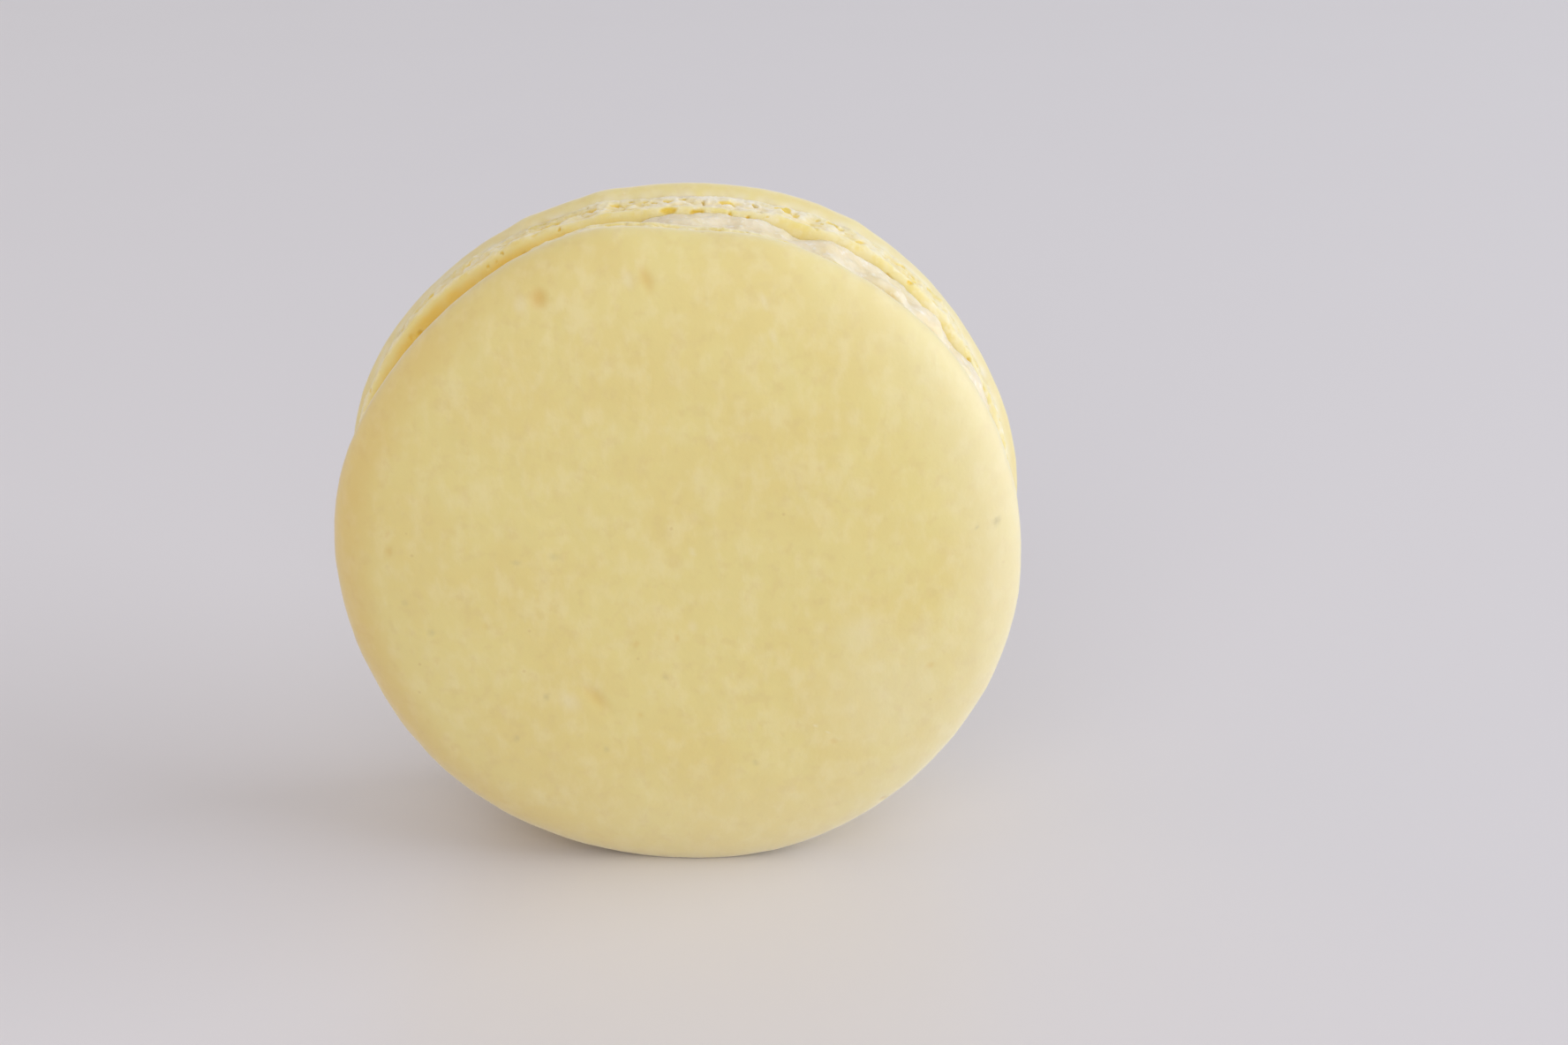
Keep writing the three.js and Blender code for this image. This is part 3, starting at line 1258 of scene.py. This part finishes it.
FRONT_RIM = (Wave(2, 0.07, 1.22), Wave(3, 0.07, 2.25), Wave(4, 0.07, -0.63), Wave(5, 0.08, -2.23),
             Wave(6, 0.08, 1.49))
FRONT_FOOT = (Wave(3, 0.1, 0.6), Wave(5, 0.07, 2.2))
BACK_RIM = (Wave(2, 0.38, 0.12), Wave(3, 0.25, -1.79), Wave(4, 0.16, 1.03), Wave(5, 0.1, -0.96),
            Wave(6, 0.14, 0.56))
BACK_FOOT = (Wave(4, 0.2, 3.28), Wave(7, 0.06, 1.3))
BACK_CORNERS = (Stretch(103.5, 5, 0.10), Stretch(118.5, 4, 0.07), Stretch(59, 4, 0.08),
                Stretch(-40, 6, 0.1))
FRONT_RADIUS = 22.5
BACK_RADIUS = 22.65
FLAT_DEPTH = 0.4
BACK_DROP = 0.1
CAD_STEP = 3  # degrees between the corners of the solids' rims

FRONT_TINTS = (
    # painted highlight: the right half of the rim is paler where the window light falls on it
    RimTint(Tint.PALE, Stretch(2, 92, 0.5)),
    RimTint(Tint.PALE, Stretch(-80, 60, 0.15), 0.55, 0.85),
    # painted shade: the left half of the rim is golden and darker, away from the window light
    RimTint(Tint.GOLDEN, Stretch(190, 105, 0.42), 0.84, 0.96),
)
# painted highlight: the back shell's rim is paler on the right, where the window light falls on it
BACK_TINTS = (RimTint(Tint.PALE, Stretch(35, 60, 0.2)),)

FRONT_MARKS = (
    # painted shade inside this dent, and a painted highlight beside it on the wall that faces the light
    Mark(115, 20.0, 0.9, 0.95, 0.09, Tint.GOLDEN, 0.75),
    Mark(118.5, 20.2, 0.7, 0.9, 0.0, Tint.PALE, 0.4),
    # painted shade inside this dent, and a painted highlight beside it on the wall that faces the light
    Mark(95, 19.4, 0.6, 1.3, 0.06, Tint.GOLDEN, 0.5, 20),
    Mark(98.5, 19.5, 0.5, 1.0, 0.0, Tint.PALE, 0.35, 20),
    # painted shade inside this dent, and a painted highlight beside it on the wall that faces the light
    Mark(-122.5, 10.1, 0.75, 1.9, 0.10, Tint.GOLDEN, 0.38, 40),
    Mark(-129, 11.4, 1.0, 1.3, 0.0, Tint.PALE, 0.4, 20),
    Mark(-91, 4.1, 0.32, 0.32, 0.02, Tint.GOLDEN, 0.4),
    Mark(8.6, 20.9, 0.42, 0.42, 0.03, Tint.GREY, 0.5),
    Mark(8.6, 19.5, 0.2, 0.2, 0.0, Tint.GREY, 0.6),
    Mark(175.8, 18.5, 0.35, 0.5, 0.06, Tint.GOLDEN, 0.35),
    Mark(172.3, 18.7, 0.3, 0.4, 0.04, Tint.GOLDEN, 0.25),
    Mark(-52, 22.0, 0.35, 0.3, 0.15, Tint.GOLDEN, 0.6),
    Mark(-19, 12.5, 2.8, 2.4, 0.0, Tint.PALE, 0.3),
    # painted highlight: a broad pale patch on the lower right of the face, where the window light whitens
    # it
    Mark(-32, 17.0, 8.5, 8.0, 0.0, Tint.PALE, 0.3),
    Mark(-74, 3.4, 0.5, 0.6, 0.0, Tint.PALE, 0.3),
    Mark(-50, 13.9, 0.2, 0.2, 0.0, Tint.PALE, 0.8),
    Mark(-49, 14.7, 0.2, 0.2, 0.0, Tint.PALE, 0.8),
    Mark(-135.8, 12.2, 0.4, 0.4, 0.03, Tint.GREY, 0.35),
    Mark(-165.4, 16.7, 0.4, 0.4, 0.03, Tint.GREY, 0.3),
    Mark(-49.6, 15.6, 0.4, 0.35, 0.03, Tint.GOLDEN, 0.35),
    Mark(-21.8, 17.7, 0.4, 0.35, 0.03, Tint.GOLDEN, 0.35),
    Mark(-121, 5.3, 0.35, 0.35, 0.02, Tint.GOLDEN, 0.3),
    Mark(-111.6, 13.4, 0.35, 0.35, 0.02, Tint.GREY, 0.28),
    Mark(-104.8, 10.1, 0.35, 0.35, 0.02, Tint.GOLDEN, 0.3),
    Mark(-97.4, 7.0, 0.35, 0.3, 0.02, Tint.GREY, 0.25),
    Mark(174.1, 10.3, 0.45, 0.3, 0.03, Tint.GREY, 0.28),
    Mark(169.1, 8.0, 0.45, 0.45, 0.03, Tint.GREY, 0.22),
    Mark(-69.7, 14.2, 0.35, 0.35, 0.02, Tint.GREY, 0.28),
    Mark(-164.4, 13.0, 0.3, 0.4, 0.02, Tint.GOLDEN, 0.25),
    Mark(-132.6, 16.0, 0.35, 0.35, 0.02, Tint.GREY, 0.28),
    Mark(-172.9, 17.9, 0.35, 0.35, 0.02, Tint.GREY, 0.25),
    Mark(62.8, 2.2, 0.3, 0.6, 0.0, Tint.PALE, 0.35, 25),
    Mark(72.9, 19.1, 0.35, 0.9, 0.0, Tint.PALE, 0.35, 20),
    Mark(68.7, 17.2, 0.35, 0.9, 0.0, Tint.PALE, 0.35, 25),
    Mark(-18.2, 16.8, 1.2, 0.5, 0.0, Tint.PALE, 0.3, 10),
)

BACK_PITS = (
    Pit(92.1, -0.1, 0.75, 0.6, 0.2),
    Pit(86.8, -0.4, 0.6, 0.5, 0.2),
    Pit(80.9, -0.36, 0.2, 0.2, 0.2),
    Pit(77.7, -0.5, 0.25, 0.2, 0.2),
    Pit(72.2, 2.6, 0.4, 0.75, 0.1, 35, 0.03),
    Pit(70.4, 2.3, 0.42, 1.3, 0.1, -28, 0.03),
    Pit(67.7, 0.8, 0.2, 0.35, 0.22),
    Pit(60.0, 1.2, 0.18, 0.3, 0.2),
    Pit(57.6, 1.1, 0.45, 0.9, 0.1, 30, 0.03),
    Pit(50.6, -0.9, 0.4, 0.3, 0.22),
    Pit(46.9, 0.1, 0.25, 0.45, 0.25),
)


def axis_place() -> Place:
    """Find the axis from the right side of the back shell's solid and the known radii.

    Returns:
        Where the axis runs.
    """
    turns = [math.radians(turn) for turn in range(0, CIRCLE, CAD_STEP)]
    rim = [BACK_RADIUS + sum(wave.at(turn) for wave in BACK_RIM) for turn in turns]
    right = max(reach * math.cos(turn) for reach, turn in zip(rim, turns))
    return Place(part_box("back_shell")[1].x / MM - right, FRONT_RADIUS - FLAT_DEPTH)


def main() -> None:
    """Build the macaron and its studio."""
    logging.basicConfig(level=logging.INFO, format="%(message)s")
    place = axis_place()
    skin, foot, cream = SkinFinish().material(), FootFinish().material(), CreamFinish().material()
    front = MacaronShell(
        name="front_shell", side=Side.FRONT, radius=FRONT_RADIUS, foot_inset=0.8,
        rim_waves=FRONT_RIM, foot_waves=FRONT_FOOT, place=place, seed=11, dip=Stretch(88, 17, 0.5),
        rim_tints=FRONT_TINTS, bare=Stretch(145, 60, 1.0), marks=FRONT_MARKS)
    back = MacaronShell(
        name="back_shell", side=Side.BACK, radius=BACK_RADIUS, foot_inset=0.35,
        rim_waves=BACK_RIM, foot_waves=BACK_FOOT, place=place, seed=37, rim_corners=BACK_CORNERS,
        drop=BACK_DROP, rim_tints=BACK_TINTS, bare=Stretch(135, 62, 1.0),
        chalk=Stretch(80, 36, 1.0), pits=BACK_PITS)
    front.build(skin, foot)
    CreamFilling(place).build(cream)
    back.build(skin, foot)
    Studio().build()


if __name__ == "__main__":
    main()
